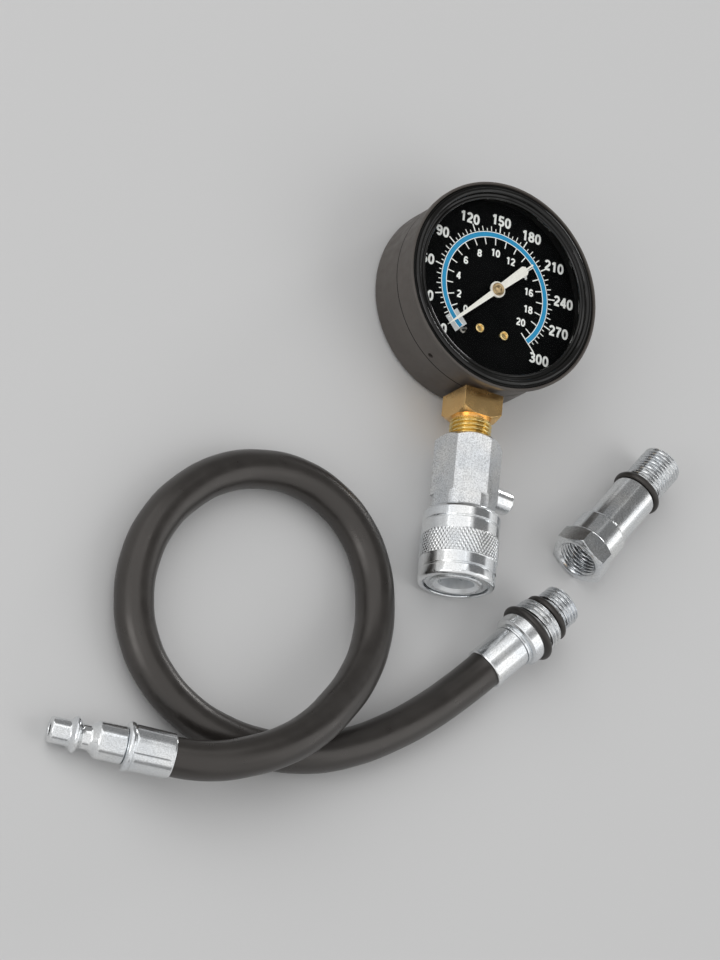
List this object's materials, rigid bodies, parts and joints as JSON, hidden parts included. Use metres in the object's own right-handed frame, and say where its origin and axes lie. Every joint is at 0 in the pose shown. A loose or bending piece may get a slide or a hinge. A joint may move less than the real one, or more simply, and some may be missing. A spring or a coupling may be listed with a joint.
{
  "type": "compression tester",
  "caption": "Engine compression tester: dial gauge with a quick coupler and bleed button, rubber hose with a plug and stepped spark plug threads, and a long reach adapter.",
  "frame": {"origin": "centre of the gauge case's back face", "axes": "+Z out of the dial, +Y up the dial, the stem and coupler along -Y"},
  "size_m": [0.2129, 0.2208, 0.0264],
  "materials": {
    "case_black": "semi-gloss black enamel",
    "bezel_black": "gloss black",
    "lens": "clear",
    "dial": "matte black with white print",
    "pointer_white": "matte white",
    "brass": "turned",
    "zinc_steel": "bright zinc plate",
    "steel": "plain",
    "seal_rubber": "matte",
    "hose_rubber": "smooth, slightly shiny"
  },
  "bodies": {
    "gauge": {"rear_case": "case_black", "front_case": "case_black", "bezel_ring": "bezel_black", "lens": "lens", "face_ring": "bezel_black", "dial_plate": "dial", "dial_screws": "brass", "stop_pin": "steel", "socket": "brass", "bourdon_tube": "brass", "tube_tip": "brass", "movement_base": "brass", "movement_pillars": "brass", "movement_top": "brass", "hairspring": "brass", "coupler_back": "zinc_steel", "coupler_front": "zinc_steel", "poppet_spring": "steel", "nose_seal": "seal_rubber", "sleeve_spring": "steel", "sleeve_ring": "steel", "button_spring": "steel"},
    "pointer_staff": {"pointer": "pointer_white", "pointer_hub": "brass", "pinion_shaft": "brass"},
    "sector": {"sector_gear": "brass"},
    "link": {"link": "brass"},
    "poppet": {"coupler_poppet": "steel"},
    "sleeve": {"sleeve": "zinc_steel"},
    "ball_1": {"ball_1": "steel"},
    "ball_2": {"ball_2": "steel"},
    "ball_3": {"ball_3": "steel"},
    "ball_4": {"ball_4": "steel"},
    "button": {"release_button": "zinc_steel", "button_valve": "brass"},
    "hose_set": {"hose": "hose_rubber", "hose_ends": "hose_rubber", "plug": "zinc_steel", "plug_ferrule": "zinc_steel", "hose_fitting": "zinc_steel", "fitting_ferrule": "zinc_steel", "oring_m18": "seal_rubber", "oring_m14": "seal_rubber", "valve_core": "brass", "core_spring": "steel"},
    "core_pin": {"core_pin": "brass"},
    "adapter_set": {"adapter": "zinc_steel", "adapter_oring": "seal_rubber"}
  },
  "joints": [
    {"name": "pointer_turn", "type": "hinge", "parent": "gauge", "child": "pointer_staff", "pos_m": [0, 0, 0.02], "axis": [0, 0, -1], "range_deg": [0, 270]},
    {"name": "sector_swing", "type": "hinge", "parent": "gauge", "child": "sector", "pos_m": [0.00142, -0.01619, 0.0113], "axis": [0, 0, 1], "range_deg": [0, 22.5], "stiffness_Nm_per_rad": 0.003, "springref_deg": -5.73},
    {"name": "link_swing", "type": "hinge", "parent": "sector", "child": "link", "pos_m": [0.0065, -0.023, 0.0125], "axis": [0, 0, 1], "range_deg": [-22.5, 0]},
    {"name": "sleeve_slide", "type": "slide", "parent": "gauge", "child": "sleeve", "axis": [0, 1, 0], "range_m": [0, 0.004], "stiffness_N_per_m": 800, "springref_m": -0.006},
    {"name": "ball_1_slide", "type": "slide", "parent": "gauge", "child": "ball_1", "axis": [1, 0, 0], "range_m": [0, 0.00185]},
    {"name": "ball_2_slide", "type": "slide", "parent": "gauge", "child": "ball_2", "axis": [0, 0, 1], "range_m": [0, 0.00185]},
    {"name": "ball_3_slide", "type": "slide", "parent": "gauge", "child": "ball_3", "axis": [-1, 0, 0], "range_m": [0, 0.00185]},
    {"name": "ball_4_slide", "type": "slide", "parent": "gauge", "child": "ball_4", "axis": [0, 0, -1], "range_m": [0, 0.00185]},
    {"name": "poppet_slide", "type": "slide", "parent": "gauge", "child": "poppet", "axis": [0, 1, 0], "range_m": [0, 0.0014], "stiffness_N_per_m": 500, "springref_m": -0.004},
    {"name": "button_press", "type": "slide", "parent": "gauge", "child": "button", "axis": [-0.9848, 0, 0.1736], "range_m": [0, 0.001], "stiffness_N_per_m": 1200, "springref_m": -0.003},
    {"name": "hose_lift", "type": "slide", "parent": "gauge", "child": "hose_set", "axis": [0, 0, 1], "range_m": [0, 0.06]},
    {"name": "core_press", "type": "slide", "parent": "hose_set", "child": "core_pin", "axis": [-0.6503, -0.7428, -0.1592], "range_m": [0, 0.0008], "stiffness_N_per_m": 300, "springref_m": -0.002},
    {"name": "adapter_lift", "type": "slide", "parent": "gauge", "child": "adapter_set", "axis": [0, 0, 1], "range_m": [0, 0.06]}
  ],
  "couplings": [
    {"joint": "pointer_turn", "follows": "sector_swing", "ratio": 12},
    {"joint": "link_swing", "follows": "sector_swing", "ratio": -1},
    {"joint": "ball_1_slide", "follows": "sleeve_slide", "ratio": 0.46},
    {"joint": "ball_2_slide", "follows": "sleeve_slide", "ratio": 0.46},
    {"joint": "ball_3_slide", "follows": "sleeve_slide", "ratio": 0.46},
    {"joint": "ball_4_slide", "follows": "sleeve_slide", "ratio": 0.46}
  ]
}
